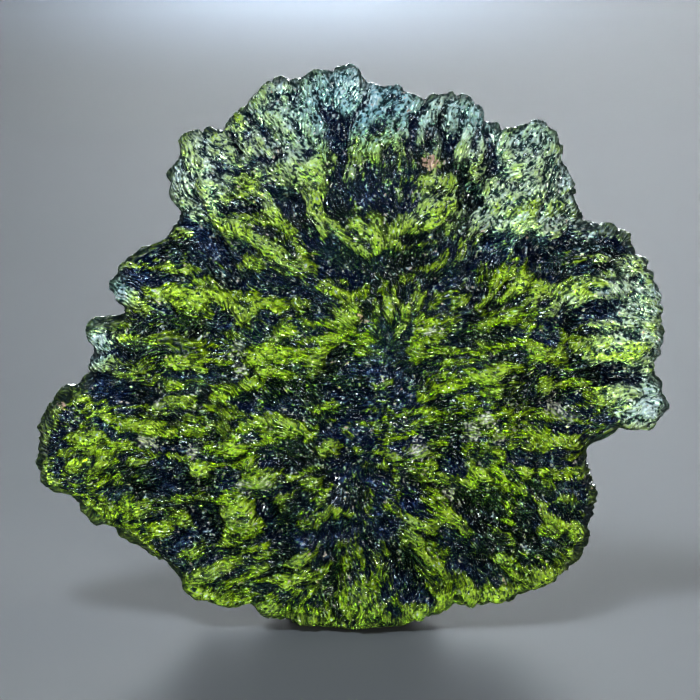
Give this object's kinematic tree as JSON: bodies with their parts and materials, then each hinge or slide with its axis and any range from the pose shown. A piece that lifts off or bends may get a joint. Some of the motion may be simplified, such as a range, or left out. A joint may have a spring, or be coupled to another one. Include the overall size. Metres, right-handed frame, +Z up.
{
  "type": "moldavite",
  "caption": "Natural green impact glass stone: a fan-shaped plate with a lobed thin rim, etched into radial tufts, standing on a small flat spot.",
  "frame": {"origin": "under the middle of the stone's box, on the plane of the flat spot that it stands on", "axes": "+X along the plate, to the right as seen from the richly etched face; +Y through the plate, from the etched face to the back; +Z up, towards the thin lobed rim"},
  "size_m": [0.0422, 0.0106, 0.038],
  "materials": {
    "moldavite_glass": "dark bottle-green natural glass, see-through green where it is thin and nearly black where it is thick, with a sharp etched relief, a waxy gloss and a little pale dust in the pits"
  },
  "bodies": {
    "root": {"moldavite": "moldavite_glass"}
  },
  "joints": []
}
